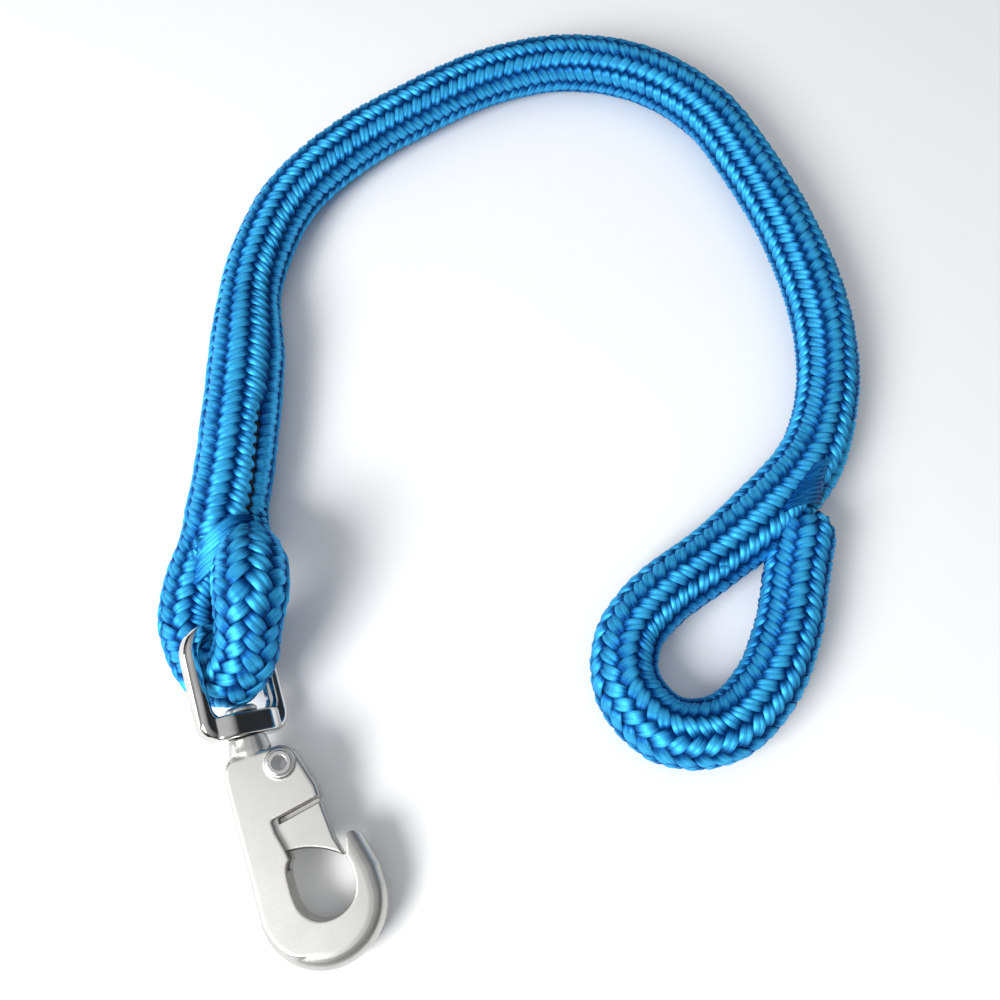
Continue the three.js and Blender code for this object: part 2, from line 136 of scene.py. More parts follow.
def through(points, step):
    """A smooth line through the points, as places about a step apart along it."""
    p = np.array(points, float)
    p = np.vstack([2 * p[0] - p[1], p, 2 * p[-1] - p[-2]])
    line = []
    for a, b, c, d in zip(p[:-3], p[1:-2], p[2:-1], p[3:]):  # centripetal, so no overshoot
        k1 = np.linalg.norm(b - a) ** 0.5
        k2 = k1 + np.linalg.norm(c - b) ** 0.5
        k3 = k2 + np.linalg.norm(d - c) ** 0.5
        t = np.linspace(k1, k2, 40, endpoint=False)[:, None]
        ab = (a * (k1 - t) + b * t) / k1
        bc = (b * (k2 - t) + c * (t - k1)) / (k2 - k1)
        cd = (c * (k3 - t) + d * (t - k2)) / (k3 - k2)
        abc = (ab * (k2 - t) + bc * t) / k2
        bcd = (bc * (k3 - t) + cd * (t - k1)) / (k3 - k1)
        line.append((abc * (k2 - t) + bcd * (t - k1)) / (k2 - k1))
    line = np.vstack([*line, p[-2:-1]])
    reached = np.concatenate([[0], np.cumsum(np.linalg.norm(np.diff(line, axis=0), axis=1))])
    at = np.linspace(0, reached[-1], int(reached[-1] / step) + 1)
    return at, read_off(line, at, reached)


def carried_normals(line, first):
    """A line's directions, and normals carried along it from the first without any twist."""
    tangents = np.gradient(line, axis=0)
    tangents /= np.linalg.norm(tangents, axis=1)[:, None]
    normals = [first - tangents[0] * (first @ tangents[0])]
    for t in tangents[1:]:
        n = normals[-1] - t * (normals[-1] @ t)
        normals.append(n / np.linalg.norm(n))
    return tangents, np.array(normals)


run, middle = through(ROUTE, 0.25)
along, up = carried_normals(middle, np.array([0.0, 0.0, 1.0]))
side = np.cross(along, up)
ROPE_LENGTH = run[-1]
MAIN_END = ROPE_LENGTH - FREE_EYE_LENGTH


def ease(x, low, high):
    """0 below low and 1 above high, with a soft step between them."""
    t = np.clip((x - low) / (high - low), 0, 1)
    return t * t * (3 - 2 * t)


def over_reach(s, begins, full, falls, ends):
    """1 along one reach of the rope and 0 beyond it, with a soft step at each end."""
    return ease(s, begins, full) * (1 - ease(s, falls, ends))


def swell(s):
    """How thick the main rope is at s, against its plain stretches."""
    return (1 + HOOK_SWELL * over_reach(s, *HOOK_SWELL_REACH)
            + FREE_SWELL * over_reach(s, *FREE_REACH))


def pushed(s):
    """How far the swollen rope is pushed over and up, off its middle line."""
    return (over_reach(s, *HOOK_PUSH_REACH)[..., None] * HOOK_PUSH
            + over_reach(s, *FREE_REACH)[..., None] * FREE_PUSH)


def on_rope(s, turn, height, grow=1.0):
    """A place at s along the rope, at an angle round it and a height off its middle line."""
    s = np.clip(s, 0, ROPE_LENGTH)
    c, n, b = (read_off(v, s) for v in (middle, up, side))
    r = (height * grow)[..., None]
    return c + pushed(s) + r * (n * np.cos(turn)[..., None] + b * np.sin(turn)[..., None])


def sweep(paths, normals, half_width, half_thickness, section):
    """Closed tubes of one section along many paths at once, capped at their ends."""
    count, steps, _ = paths.shape
    ring = len(section)
    tangents = np.gradient(paths, axis=1)
    tangents /= np.linalg.norm(tangents, axis=2)[..., None]
    out = normals - tangents * (normals * tangents).sum(2)[..., None]
    out /= np.linalg.norm(out, axis=2)[..., None]
    across = np.cross(tangents, out)
    wide, tall = (np.array(section)[:, k][None, None, :, None] for k in (0, 1))
    points = (paths[:, :, None] + across[:, :, None] * wide * half_width[..., None, None]
              + out[:, :, None] * tall * half_thickness[..., None, None])
    here = np.arange(count * steps * ring).reshape(count, steps, ring)
    a, b = here[:, :-1], here[:, 1:]
    walls = np.stack([a, b, np.roll(b, -1, 2), np.roll(a, -1, 2)], -1).reshape(-1, 4)
    caps = [list(r) for r in here[:, 0]] + [list(r) for r in here[:, -1, ::-1]]
    return points.reshape(-1, 3), walls, caps


def mesh_piece(name, points, walls, caps=(), maps=None):
    """A smooth-shaded mesh object, its points in mm. maps gives a value pair for each point."""
    mesh = bpy.data.meshes.new(name)
    faces = [list(f) for f in walls] + [[int(i) for i in c] for c in caps]
    mesh.from_pydata((points * MM).tolist(), [], faces)
    for label, values in (maps or {}).items():
        layer = mesh.uv_layers.new(name=label)
        corners = np.empty(len(mesh.loops), np.int32)
        mesh.loops.foreach_get("vertex_index", corners)
        layer.data.foreach_set("uv", values[corners].astype(np.float32).ravel())
    mesh.shade_smooth()
    piece = bpy.data.objects.new(name, mesh)
    bpy.context.scene.collection.objects.link(piece)
    return piece


def strand_maps(loose, tones, run_on, section):
    """A strand's two maps: where it is across and along, and how far over it lies and its tone.

    "fibre" also tells the gloss which way the filaments run."""
    ring = len(section)
    across = np.tile(np.array(section)[:, 0] * 0.5 + 0.5, loose.size)
    return {
        "fibre": np.stack([across, np.repeat(run_on.ravel(), ring)], -1),
        "float": np.stack([np.repeat(loose.ravel(), ring), np.repeat(tones.ravel(), ring)], -1),
    }


def braided(name, start, end, grow, seed, slits=None):
    """The braid of one stretch of rope. grow gives how thick it is, and slits how pulled in."""
    dice = np.random.default_rng(seed)
    body_radius = ROPE_DIAMETER / 2 - STRAND_RISE - STRAND_THICKNESS / 2
    crossing = BRAID_PITCH / (2 * STRANDS)
    steps = int((end - start) / crossing * CROSSING_STEPS)
    s = np.linspace(start, end, steps)
    paths, normals, loose, tones, stretched = [], [], [], [], []
    for way in (1, -1):
        for strand in range(STRANDS):
            turn = way * 2 * math.pi * s / BRAID_PITCH + 2 * math.pi * strand / STRANDS
            turn = turn + TURN_WANDER * np.sin(s / 4.7 + 9 * dice.random())
            place = turn * STRANDS / math.pi
            over = way * np.cos(math.pi / 2 * (place - 0.5))  # over two, then under two
            rise = np.sign(over) * np.abs(over) ** 0.75
            wander = RISE_WANDER * np.sin(s / 9 + 9 * dice.random())
            height = body_radius + STRAND_RISE * rise + wander
            if slits is not None:
                height = height - slits(s, turn)
            paths.append(on_rope(s, turn, height, grow(s)))
            # how far 1 mm of the middle line goes out here: more outside a bend, less inside
            ahead, behind = (on_rope(s + d, turn, height, grow(s)) for d in (0.5, -0.5))
            stretched.append(np.linalg.norm(ahead - behind, axis=1))
            ones = np.ones_like(s)
            normals.append(on_rope(s, turn, ones) - on_rope(s, turn, 0 * ones))
            # how far over the others it lies: sets the strand's width and thickness, and also
            # its painted shade where it dives and painted highlight over its crown
            loose.append(0.5 + 0.5 * over)
            tones.append(dice.random() * ones)
    paths, normals, loose, tones, stretched = (
        np.array(v) for v in (paths, normals, loose, tones, stretched))
    size = grow(s)[None]
    drawn = np.clip(0.35 + 0.65 * stretched, 0.8, 1.4)  # wider where a bend spreads the braid
    half_width = STRAND_WIDTH / 2 * (0.80 + 0.26 * loose) * drawn * size
    half_thickness = STRAND_THICKNESS / 2 * (0.80 + 0.20 * loose) * size
    points, walls, caps = sweep(paths, normals, half_width, half_thickness, TWO_YARNS)
    maps = strand_maps(loose, tones, np.tile(s / 10, (2 * STRANDS, 1)), TWO_YARNS)
    return mesh_piece(name, points, walls, caps, maps)


def fibre_group():
    """Filament yarn: fine hairlines along it, painted shade where it dives under the others,
    painted highlight over its crown.
    """
    group = bpy.data.node_groups.new("filament yarn", "ShaderNodeTree")
    face = group.interface
    for label in ("Painted Shade", "Middle", "Light"):
        face.new_socket(label, in_out="INPUT", socket_type="NodeSocketColor")
    face.new_socket("Color", in_out="OUTPUT", socket_type="NodeSocketColor")
    face.new_socket("Roughness", in_out="OUTPUT", socket_type="NodeSocketFloat")
    face.new_socket("Height", in_out="OUTPUT", socket_type="NodeSocketFloat")
    n, link = group.nodes, group.links.new
    given, put = n.new("NodeGroupInput"), n.new("NodeGroupOutput")

    def parts_of(label):
        laid = n.new("ShaderNodeUVMap")
        laid.uv_map = label
        parts = n.new("ShaderNodeSeparateXYZ")
        link(laid.outputs["UV"], parts.inputs[0])
        return parts.outputs["X"], parts.outputs["Y"]

    def sum_of(value, factor, more=None, constant=0.0):
        node = n.new("ShaderNodeMath")
        node.operation = "MULTIPLY_ADD"
        link(value, node.inputs[0])
        node.inputs[1].default_value = factor
        node.inputs[2].default_value = constant
        if more is not None:
            link(more, node.inputs[2])
        return node.outputs[0]

    def blend(amount, low, high, first, second):
        ramp = n.new("ShaderNodeMapRange")
        ramp.interpolation_type = "SMOOTHSTEP"
        ramp.inputs["From Min"].default_value = low
        ramp.inputs["From Max"].default_value = high
        link(amount, ramp.inputs["Value"])
        mix = n.new("ShaderNodeMix")
        mix.data_type = "RGBA"
        link(ramp.outputs[0], mix.inputs["Factor"])
        link(first, mix.inputs[6])
        link(second, mix.inputs[7])
        return mix.outputs[2]

    hairs_across, hairs_along, next_strand = 22, 4.5, 90  # in noise cells
    hair_share, tone_share = 0.5, 0.08  # how much each adds to how light the yarn is
    middle_from, middle_full = 0.72, 1.22
    painted_highlight_from, painted_highlight_full = 0.95, 1.42
    smoothest, rougher = 0.3, 0.3

    loose, tone = parts_of("float")
    across, run_on = parts_of("fibre")
    hair = n.new("ShaderNodeTexNoise")
    hair.inputs["Scale"].default_value = 1
    hair.inputs["Detail"].default_value = 2
    lie = n.new("ShaderNodeCombineXYZ")
    link(sum_of(across, hairs_across), lie.inputs["X"])
    link(sum_of(run_on, hairs_along), lie.inputs["Y"])
    link(sum_of(tone, next_strand), lie.inputs["Z"])
    link(lie.outputs[0], hair.inputs["Vector"])
    # how far over the yarn lies, with hairlines and tone: low gives painted shade where it
    # dives, high gives painted highlight over its crown
    height = sum_of(tone, tone_share, sum_of(hair.outputs["Fac"], hair_share, loose))
    deep, middle_tone, painted_highlight = (given.outputs[k] for k in ("Painted Shade", "Middle", "Light"))
    painted_shade_to_middle = blend(height, middle_from, middle_full, deep, middle_tone)
    link(blend(height, painted_highlight_from, painted_highlight_full, painted_shade_to_middle, painted_highlight), put.inputs["Color"])
    link(sum_of(hair.outputs["Fac"], rougher, constant=smoothest), put.inputs["Roughness"])
    link(hair.outputs["Fac"], put.inputs["Height"])
    return group


filament_yarn = fibre_group()
YARN_RELIEF = 0.0002  # metres, as for the other finishes
YARN_STREAK = 0.85  # how far the gloss is drawn out across the filaments
YARN_GLINT = (0.25, 0.7, 1, 1)


def yarn_material(name, deep, middle_tone, painted_highlight):
    """Glossy multifilament polyester: painted shade where it dives, painted highlight over its
    crown.
    """
    material = bpy.data.materials.new(name)
    material.use_nodes = True
    n, link = material.node_tree.nodes, material.node_tree.links.new
    shader = n["Principled BSDF"]
    yarn = n.new("ShaderNodeGroup")
    yarn.node_tree = filament_yarn
    yarn.inputs["Painted Shade"].default_value = deep
    yarn.inputs["Middle"].default_value = middle_tone
    yarn.inputs["Light"].default_value = painted_highlight
    bump = n.new("ShaderNodeBump")
    bump.inputs["Strength"].default_value = 0.8
    bump.inputs["Distance"].default_value = YARN_RELIEF
    link(yarn.outputs["Height"], bump.inputs["Height"])
    link(bump.outputs[0], shader.inputs["Normal"])
    link(yarn.outputs["Color"], shader.inputs["Base Color"])
    link(yarn.outputs["Roughness"], shader.inputs["Roughness"])
    lie = n.new("ShaderNodeTangent")
    lie.direction_type = "UV_MAP"
    lie.uv_map = "fibre"
    link(lie.outputs[0], shader.inputs["Tangent"])
    shader.inputs["Anisotropic"].default_value = YARN_STREAK
    shader.inputs["Metallic"].default_value = 0.5  # so that most of the gloss is blue too
    shader.inputs["Specular IOR Level"].default_value = 0.3
    shader.inputs["Specular Tint"].default_value = YARN_GLINT
    return material


rope_yarn = yarn_material("blue polyester yarn", PAINTED_SHADE_BLUE, AZURE, PAINTED_HIGHLIGHT_BLUE)


def slit_angle(ways, s, start, end):
    """The angle round the rope, at s, of a slit that runs from start to end."""
    n, b = read_off(up, s), read_off(side, s)
    share = np.clip((s - start) / (end - start), 0, 1)[..., None]
    way = np.array(ways[0]) * (1 - share) + np.array(ways[1]) * share
    return np.arctan2((b * way).sum(-1), (n * way).sum(-1))


def pressed_slit(s, turn, ways, start, end, deep, half_width):
    """How deep the stitching has pulled the braid in, fading out at both ends of the slit."""
    away = np.angle(np.exp(1j * (turn - slit_angle(ways, s, start, end)))) * ROPE_DIAMETER / 2
    reach = over_reach(s, start, start + 6, end - 14, end)
    return deep * reach * np.exp(-((away / half_width) ** 2))


def throat_slits(s, turn):
    """The main rope's two slits, one at each throat."""
    return (pressed_slit(s, turn, HOOK_SLIT, 120, 176, deep=4.2, half_width=1.1)
            + pressed_slit(s, turn, FREE_SLIT, 562, 600, deep=2.8, half_width=1.2))


rope_main = braided("rope_braid_main", HOOK_EYE_LENGTH, MAIN_END, swell, BRAID_SEED,
                    throat_slits)
rope_main.data.materials.append(rope_yarn)
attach(rope_main, "rope")
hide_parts("rope_cover_main")


# ------------------------------------------------------------------ rope, hook eye
# The same rope, turned back through the bail. It is drawn a little thinner round the bail and
# fuller over its near leg, and its end tapers and is buried in the main rope.

HOOK_EYE_SHARE = 0.93  # of the rope's full size
BURIED_SHARE = 0.62


def hook_eye_size(s):
    """How thick the eye's rope is at s: tapered end, full near leg, then out to full size."""
    fuller = 0.17 * ease(s, 28, 42) * (1 - ease(s, 48, 64))
    full_size = HOOK_EYE_SHARE + fuller + 0.07 * ease(s, 96, 121.9)
    return full_size * (BURIED_SHARE + 0.38 * ease(s, 20, 44))


rope_hook_eye = braided("rope_braid_hook_eye", 0, HOOK_EYE_LENGTH, hook_eye_size, BRAID_SEED)
rope_hook_eye.data.materials.append(rope_yarn)
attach(rope_hook_eye, "rope")
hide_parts("rope_cover_hook_eye")


# ------------------------------------------------------------------ rope, free eye
# The other end, turned back on itself into a teardrop and buried in the same way. Only the
# last few millimetres taper, where it goes in.


def free_eye_size(s):
    """How thick the eye's rope is at s."""
    return 1 - 0.3 * ease(s, ROPE_LENGTH - 6, ROPE_LENGTH)


rope_free_eye = braided("rope_braid_free_eye", MAIN_END, ROPE_LENGTH, free_eye_size,
                        BRAID_SEED)
rope_free_eye.data.materials.append(rope_yarn)
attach(rope_free_eye, "rope")
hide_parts("rope_cover_free_eye")


# ------------------------------------------------------------------ pulled strands
# Where the buried ends go in, the braid has been opened and drawn tight again, which leaves
# long smooth strands lying across each throat. They are the cover's own yarn.

FINE_STEP = 0.2


def pulled_strands(name, places, width, painted_highlight, seed):
    """Strands laid through four or five places each, sinking in at both their ends."""
    dice = np.random.default_rng(seed)
    steps = 40  # rings along a strand
    paths = []
    for strand in places:
        _, line = through(strand, FINE_STEP)
        pick = np.linspace(0, len(line) - 1, steps)
        paths.append(read_off(line, pick, np.arange(len(line))))
    paths = np.array(paths)
    share = np.linspace(-1, 1, steps)
    normals = np.zeros_like(paths) + np.array([0.12, 0.05, 1.0])  # nearly straight up
    taper = np.tile(1 - 0.35 * share ** 4, (len(paths), 1))
    # painted highlight along their middles, fading to painted shade where they sink in at both
    # ends
    loose = np.tile(painted_highlight - 0.45 * np.abs(share) ** 1.5, (len(paths), 1))
    tones = np.repeat(dice.random(len(paths)), steps).reshape(len(paths), steps)
    run_on = np.tile(np.linspace(0, 1.2, steps), (len(paths), 1))
    thick = STRAND_THICKNESS / 2 * taper
    points, walls, caps = sweep(paths, normals, width / 2 * taper, thick, TWO_YARNS)
    maps = strand_maps(loose, tones, run_on, TWO_YARNS)
    piece = mesh_piece(name, points, walls, caps, maps)
    piece.data.materials.append(rope_yarn)
    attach(piece, "rope")
    return piece


# mouth of the free eye: a band of strands side by side, from the slit over the near leg. Each
# is given by its places in mm, from the end that sinks in at the right to the one at the left
free_band = []
for row in range(9):
    y = -19.2 - 1.5 * row
    right, left = 91.6 - 0.6 * row, 85.0 - 1.1 * row
    free_band.append(((right + 1.2, y + 2.4, 14.2), (right - 1.8, y + 1.4, 19.4),
                      (0.5 * (right + left), y, 22.4 - 0.12 * row), (left + 0.5, y - 1.5, 21.8),
                      (left - 2.0, y - 2.7, 16.8)))
# this band gets less painted highlight than the strands at the hook's throat, so it reads
# darker
free_throat = pulled_strands("free_eye_throat_strands", free_band, width=2.0, painted_highlight=0.8,
                             seed=17)

# mouth of the hook eye: four long strands over the far leg, and three that cross them
hook_cross = []
for row in range(4):
    x, y = -80.0 - 0.3 * row, -36.5 - 3.0 * row
    hook_cross.append(((x, y, 21.0), (x - 5.5, y - 2.2, 24.4 - 0.7 * row),
                       (x - 12, y - 7.0, 22.6 - 0.9 * row), (x - 17.5, y - 11.5, 17.0)))
for row in range(3):
    x, y = -96.5 + 4.2 * row, -38.5 - 1.6 * row
    hook_cross.append(((x, y, 18.6 + row), (x + 1.6, y - 4.5, 20.4 + row),
                       (x + 3.6, y - 9.5, 19.2 + 0.8 * row), (x + 6.5, y - 14, 13.5)))
# these strands get nearly full painted highlight over their crowns
hook_throat = pulled_strands("hook_eye_throat_strands", hook_cross, width=3.0, painted_highlight=0.95,
                             seed=19)


# ------------------------------------------------------------------ inner braid
# The rope's core, a softer braid of the same yarn inside the cover. It only shows as a dark
# ground
# between the strands: painted shade, in the yarn's deep shaded blue all over.

CORE_RADIUS = 7.1
CORE_RIDGE = 0.12
CORE_STEP = 0.8  # from one ring of its surface to the next
CORE_INSET = 0.5  # it stops this far short of the cover's ends


def inner_braid(name, start, end, grow):
    """A solid round of fine strands, pressed into ridges by the cover."""
    ring = 40
    steps = int((end - start) / CORE_STEP)
    s = np.linspace(start + CORE_INSET, end - CORE_INSET, steps)[:, None]
    turn = 2 * math.pi * np.arange(ring)[None] / ring
    ridges = CORE_RIDGE * np.cos(STRANDS * (turn - 2 * math.pi * s / BRAID_PITCH))
    ridges = ridges * np.cos(STRANDS * (turn + 2 * math.pi * s / BRAID_PITCH))
    s, turn = s + 0 * turn, turn + 0 * s
    points = on_rope(s, turn, CORE_RADIUS + ridges, grow(s))
    here = np.arange(steps * ring).reshape(steps, ring)
    a, b = here[:-1], here[1:]
    walls = np.stack([a, np.roll(a, -1, 1), np.roll(b, -1, 1), b], -1).reshape(-1, 4)
    caps = [here[0, ::-1], here[-1]]
    # painted shade all over: the float map is kept low, so the core takes the deep shaded blue
    deep = np.stack([0.2 + ridges.ravel(), np.zeros(ridges.size)], -1)  # dark all over
    laid = np.stack([turn.ravel(), s.ravel() / 10], -1)
    return mesh_piece(name, points.reshape(-1, 3), walls, caps, {"fibre": laid, "float": deep})


# painted shade: the core takes the deep shaded blue where the cover has its own mid blue
core_yarn_in_painted_shade = yarn_material("inner braid yarn in painted shade", PAINTED_SHADE_BLUE, PAINTED_SHADE_BLUE, AZURE)
for name, start, end, grow, node in (
    ("inner_braid_main", HOOK_EYE_LENGTH, MAIN_END, swell, "rope_core_main"),
    ("inner_braid_hook_eye", 0, HOOK_EYE_LENGTH, hook_eye_size, "rope_core_hook_eye"),
    ("inner_braid_free_eye", MAIN_END, ROPE_LENGTH, free_eye_size, "rope_core_free_eye"),
):
    core = inner_braid(name, start, end, grow)
    core.data.materials.append(core_yarn_in_painted_shade)
    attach(core, "rope")
    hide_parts(node)


# ------------------------------------------------------------------ lock stitching
# Waxed black twine, sewn to and fro through each throat so that the splice can't pull out.

TWINE = 0.9  # thickness
TWINE_LAY = 2.2  # the twine that one turn of its two plies takes up
STITCH = 1.9  # from one needle hole to the next
STITCH_SWING = 0.6  # how far the twine goes to each side of the slit
STITCH_HEIGHT = 8.3  # off the rope's middle line
TWINE_RELIEF = 0.0001


def round_section(sides):
    """A plain round outline, for sweep."""
    turn = 2 * math.pi * np.arange(sides) / sides
    return np.stack([-np.cos(turn), np.sin(turn)], -1)


def lock_stitching(name, ways, start, end, node, seed):
    """A two-ply twine sewn in zigzags down in the slit, from one side of it to the other."""
    dice = np.random.default_rng(seed)
    stitches = int((end - start) / STITCH)
    s = np.linspace(start, end, stitches) + dice.normal(0, 0.25, stitches)
    facing = slit_angle(ways, s, start, end)
    swing = STITCH_SWING + dice.normal(0, 0.12, stitches)
    swing = np.where(np.arange(stitches) % 2, 1, -1) * swing
    height = STITCH_HEIGHT + dice.normal(0, 0.15, stitches)
    corners = on_rope(s, facing + swing / (ROPE_DIAMETER / 2), height, swell(s))
    _, line = through(corners, FINE_STEP)
    _, out = carried_normals(line, np.array(ways[0]))
    across = np.cross(np.gradient(line, axis=0), out)
    across /= np.linalg.norm(across, axis=1)[:, None]
    lay = np.arange(len(line)) * FINE_STEP * 2 * math.pi / TWINE_LAY
    plies = []
    for half in (0, math.pi):
        off = out * np.cos(lay + half)[:, None] + across * np.sin(lay + half)[:, None]
        plies.append(line + off * TWINE / 4)
    paths = np.array(plies)
    size = np.full(paths.shape[:2], TWINE / 3.6)  # the plies press into each other
    points, walls, caps = sweep(paths, np.array([out, out]), size, size, round_section(8))
    piece = mesh_piece(name, points, walls, caps)
    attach(piece, "rope")
    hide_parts(node)
    return piece


def twine_material():
    """Black twine, dulled by its wax and a little fuzzy."""
    material = bpy.data.materials.new("waxed black twine")
    material.use_nodes = True
    n, link = material.node_tree.nodes, material.node_tree.links.new
    shader = n["Principled BSDF"]
    place = n.new("ShaderNodeTexCoord")
    fuzz = n.new("ShaderNodeTexNoise")
    fuzz.inputs["Scale"].default_value = 2500
    link(place.outputs["Object"], fuzz.inputs["Vector"])
    tint = n.new("ShaderNodeValToRGB")
    tint.color_ramp.elements[0].color = (0.003, 0.003, 0.003, 1)
    tint.color_ramp.elements[1].color = (0.022, 0.017, 0.014, 1)
    link(fuzz.outputs["Fac"], tint.inputs["Fac"])
    link(tint.outputs[0], shader.inputs["Base Color"])
    bump = n.new("ShaderNodeBump")
    bump.inputs["Distance"].default_value = TWINE_RELIEF
    link(fuzz.outputs["Fac"], bump.inputs["Height"])
    link(bump.outputs[0], shader.inputs["Normal"])
    shader.inputs["Roughness"].default_value = 0.55
    return material


black_twine = twine_material()
hook_stitching = lock_stitching("lock_stitching_hook_eye", HOOK_SLIT, 122, 172,
                                "hook_eye_lock_stitching", 11)
free_stitching = lock_stitching("lock_stitching_free_eye", FREE_SLIT, 564, 598,
                                "free_eye_lock_stitching", 13)
hook_stitching.data.materials.append(black_twine)
free_stitching.data.materials.append(black_twine)


# ------------------------------------------------------------------ bail
# The closed link of the swivel, forged in stainless steel and polished bright. The hook's
# shank turns in its bridge, and the rope's eye runs through it.


def steel_group():
    """Worked steel: a fine grain, with dull darker patches from handling."""
    group = bpy.data.node_groups.new("worked steel", "ShaderNodeTree")
    face = group.interface
    for label in ("Grain Size", "Smooth", "Dull"):
        face.new_socket(label, in_out="INPUT", socket_type="NodeSocketFloat")
    for label in ("Bright", "Dark"):
        face.new_socket(label, in_out="INPUT", socket_type="NodeSocketColor")
    face.new_socket("Color", in_out="OUTPUT", socket_type="NodeSocketColor")
    face.new_socket("Roughness", in_out="OUTPUT", socket_type="NodeSocketFloat")
    face.new_socket("Height", in_out="OUTPUT", socket_type="NodeSocketFloat")
    n, link = group.nodes, group.links.new
    given, put = n.new("NodeGroupInput"), n.new("NodeGroupOutput")
    place = n.new("ShaderNodeTexCoord")
    grain = n.new("ShaderNodeTexNoise")
    grain.inputs["Detail"].default_value = 4
    link(place.outputs["Object"], grain.inputs["Vector"])
    link(given.outputs["Grain Size"], grain.inputs["Scale"])
    patch = n.new("ShaderNodeTexNoise")
    patch.inputs["Scale"].default_value = 90
    patch.inputs["Detail"].default_value = 5
    link(place.outputs["Object"], patch.inputs["Vector"])
    mask = n.new("ShaderNodeMapRange")
    mask.inputs["From Min"].default_value = 0.35
    mask.inputs["From Max"].default_value = 0.72
    link(patch.outputs["Fac"], mask.inputs["Value"])
    blend = n.new("ShaderNodeMix")
    blend.data_type = "RGBA"
    link(mask.outputs[0], blend.inputs["Factor"])
    link(given.outputs["Bright"], blend.inputs[6])
    link(given.outputs["Dark"], blend.inputs[7])
    link(blend.outputs[2], put.inputs["Color"])
    rough = n.new("ShaderNodeMapRange")
    link(mask.outputs[0], rough.inputs["Value"])
    link(given.outputs["Smooth"], rough.inputs["To Min"])
    link(given.outputs["Dull"], rough.inputs["To Max"])
    link(rough.outputs[0], put.inputs["Roughness"])
    link(grain.outputs["Fac"], put.inputs["Height"])
    return group


worked_steel = steel_group()
STEEL_RELIEF = 0.00005


def steel_material(name, smooth, dull, bright, dark, grain, relief):
    """Stainless steel of one finish, from mirror bright to bead-blasted."""
    material = bpy.data.materials.new(name)
    material.use_nodes = True
    n, link = material.node_tree.nodes, material.node_tree.links.new
    shader = n["Principled BSDF"]
    steel = n.new("ShaderNodeGroup")
    steel.node_tree = worked_steel
    steel.inputs["Grain Size"].default_value = grain
    steel.inputs["Smooth"].default_value = smooth
    steel.inputs["Dull"].default_value = dull
    steel.inputs["Bright"].default_value = bright
    steel.inputs["Dark"].default_value = dark
    bump = n.new("ShaderNodeBump")
    bump.inputs["Strength"].default_value = relief
    bump.inputs["Distance"].default_value = STEEL_RELIEF
    link(steel.outputs["Height"], bump.inputs["Height"])
    link(bump.outputs[0], shader.inputs["Normal"])
    link(steel.outputs["Color"], shader.inputs["Base Color"])
    link(steel.outputs["Roughness"], shader.inputs["Roughness"])
    shader.inputs["Metallic"].default_value = 1
    return material


def forged(node, name, axes, voxel, rounding):
    """A forging with soft edges, on the lines of a frame node. axes are square to its faces."""
    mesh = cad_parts[node].data.copy()
    piece = bpy.data.objects.new(name, mesh)
    bpy.context.scene.collection.objects.link(piece)
    mesh.transform(axes.inverted())
    bpy.context.view_layer.objects.active = piece
    piece.select_set(True)
    remesh = piece.modifiers.new("even", "REMESH")
    remesh.mode = "VOXEL"
    remesh.voxel_size = voxel
    soften = piece.modifiers.new("soften", "SMOOTH")
    soften.factor = 0.5
    soften.iterations = rounding
    for modifier in (remesh, soften):
        bpy.ops.object.modifier_apply(modifier=modifier.name)
    piece.select_set(False)
    piece.data.transform(axes)
    piece.data.materials.clear()
    piece.data.shade_smooth()
    return piece


HOOK_YAW = math.radians(17)  # the hook lies turned and a little tilted, on its nose
HOOK_PITCH = math.radians(7.3)
BAIL_TURN = math.radians(45)  # the bail is twisted round the hook's own length
hook_axes = Matrix.Rotation(HOOK_YAW, 4, "Z") @ Matrix.Rotation(HOOK_PITCH, 4, "X")
bail_axes = hook_axes @ Matrix.Rotation(BAIL_TURN, 4, "Y")

bright_steel = steel_material("polished steel", smooth=0.08, dull=0.2,
                              bright=(0.66, 0.65, 0.63, 1), dark=(0.5, 0.49, 0.47, 1),
                              grain=700, relief=0.05)
bail = forged("swivel_bail", "bail_forging", bail_axes, voxel=0.00025, rounding=6)
bail.data.materials.append(bright_steel)
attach(bail, "bail")
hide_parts("swivel_bail")


# ------------------------------------------------------------------ hook body
# The hook itself: bar, bow, nose, cheeks and neck in one stainless forging, bead-blasted to
# an even pale satin. The shank's head is riveted over inside the bail.

satin_steel = steel_material("bead-blasted steel", smooth=0.34, dull=0.44,
                             bright=(0.57, 0.565, 0.54, 1), dark=(0.49, 0.485, 0.46, 1),
                             grain=2200, relief=0.35)
hook_body = forged("hook_body", "hook_forging", hook_axes, voxel=0.00025, rounding=5)
hook_body.data.materials.append(satin_steel)
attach(hook_body, "hook")
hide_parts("hook_body")


# ------------------------------------------------------------------ gate
# The sprung gate that closes the hook's mouth, of the same satin steel. Its hub sits between
# the hook's cheeks, on the pin.

gate = forged("gate", "hook_gate", hook_axes, voxel=0.00014, rounding=4)
gate.data.materials.append(satin_steel)
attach(gate, "gate")
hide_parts("gate")


# ------------------------------------------------------------------ gate pin and spring
# A tubular rivet that the gate turns on, and the wound wire spring round it that shuts the
# gate. The spring can't be seen from outside.

pin = forged("gate_pin", "gate_rivet", hook_axes, voxel=0.00012, rounding=4)
pin.data.materials.append(bright_steel)
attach(pin, "hook")
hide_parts("gate_pin")

spring_steel = steel_material("spring wire", smooth=0.2, dull=0.35,
                              bright=(0.55, 0.54, 0.52, 1), dark=(0.4, 0.39, 0.37, 1),
                              grain=1500, relief=0.1)
SPRING_WIRE = 0.8
SPRING_RADIUS = 3.75
SPRING_TURNS = 2.25
SPRING_PITCH = 0.92
SPRING_LEG = 7.6  # how far the free end reaches down from the pin


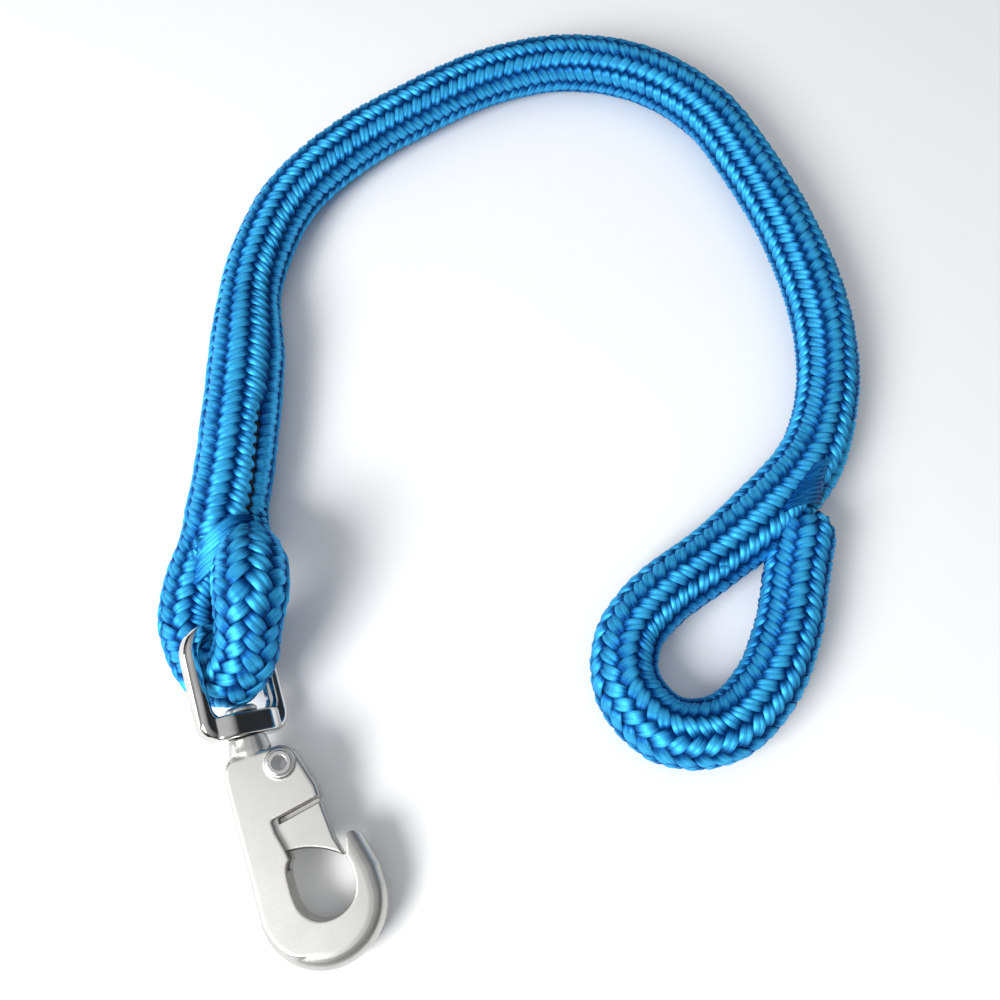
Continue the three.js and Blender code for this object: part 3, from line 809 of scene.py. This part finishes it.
def return_spring(centre):
    """A few turns of wire round the pin, one end led down along the gate."""
    turns = np.linspace(0, SPRING_TURNS, 60)
    around = math.pi - 2 * math.pi * turns
    coil = np.stack([SPRING_RADIUS * np.cos(around), SPRING_RADIUS * np.sin(around),
                     SPRING_PITCH * (turns - SPRING_TURNS / 2)], -1)
    foot = coil[0][2]
    leg = [(-SPRING_RADIUS - 1.4, -SPRING_LEG, foot),
           (-SPRING_RADIUS - 0.5, -SPRING_LEG / 2, foot)]
    _, line = through([*leg, *coil], FINE_STEP)
    turned = np.array(hook_axes.to_3x3())
    path = (line @ turned.T + centre)[None]
    normals = (np.zeros_like(line) + turned[:, 2])[None]
    size = np.full((1, len(line)), SPRING_WIRE / 2)
    return mesh_piece("return_spring", *sweep(path, normals, size, size, round_section(10)))


spring = return_spring(np.mean(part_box("gate_pin"), axis=0) / MM)
spring.data.materials.append(spring_steel)
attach(spring, "hook")
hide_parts("gate_spring")


# ------------------------------------------------------------------ floor and light
# A plain white floor, a soft light from the near left, and a low weak one from the left that
# picks out the yarn. The room round it is dark low down and pale above.

FLOOR_HALF = 12.0
FLOOR_GAP = 0.0002


def floor_piece():
    """A square of plain white board just under the lanyard."""
    half = FLOOR_HALF
    mesh = bpy.data.meshes.new("floor")
    mesh.from_pydata([(-half, -half, 0), (half, -half, 0), (half, half, 0), (-half, half, 0)],
                     [], [(0, 1, 2, 3)])
    floor = bpy.data.objects.new("floor", mesh)
    floor.location.z = cad_box[0][2] - FLOOR_GAP
    bpy.context.scene.collection.objects.link(floor)
    white = bpy.data.materials.new("white floor")
    white.use_nodes = True
    shader = white.node_tree.nodes["Principled BSDF"]
    shader.inputs["Base Color"].default_value = (0.9, 0.9, 0.9, 1)
    shader.inputs["Roughness"].default_value = 0.9
    shader.inputs["Specular IOR Level"].default_value = 0.1
    mesh.materials.append(white)
    return floor


floor_piece()


def soft_light(name, place, aim, size, watts):
    """A square white light turned towards aim."""
    lamp = bpy.data.objects.new(name, bpy.data.lights.new(name, "AREA"))
    lamp.data.size = size
    lamp.data.energy = watts
    lamp.location = place
    lamp.rotation_euler = (Vector(aim) - Vector(place)).to_track_quat("-Z", "Y").to_euler()
    bpy.context.scene.collection.objects.link(lamp)


soft_light("key", place=(-0.5, -0.55, 0.6), aim=(0, 0, 0), size=0.45, watts=10.5)
soft_light("low", place=(-0.8, -0.2, 0.16), aim=(0, 0, 0.01), size=0.3, watts=1.2)


def studio_room():
    """The light of the room itself, from dark walls low down to a pale ceiling."""
    room = bpy.data.worlds.new("room")
    room.use_nodes = True
    n, link = room.node_tree.nodes, room.node_tree.links.new
    looking = n.new("ShaderNodeTexCoord")
    height = n.new("ShaderNodeSeparateXYZ")
    walls = n.new("ShaderNodeValToRGB")
    dark, pale = walls.color_ramp.elements
    dark.position, dark.color = 0.25, (0.03, 0.033, 0.036, 1)
    pale.position, pale.color = 0.95, (0.8, 0.815, 0.84, 1)
    link(looking.outputs["Generated"], height.inputs[0])
    link(height.outputs["Z"], walls.inputs["Fac"])
    link(walls.outputs[0], n["Background"].inputs["Color"])
    n["Background"].inputs["Strength"].default_value = 0.95
    return room


bpy.context.scene.world = studio_room()
bpy.context.scene.view_settings.view_transform = "Standard"
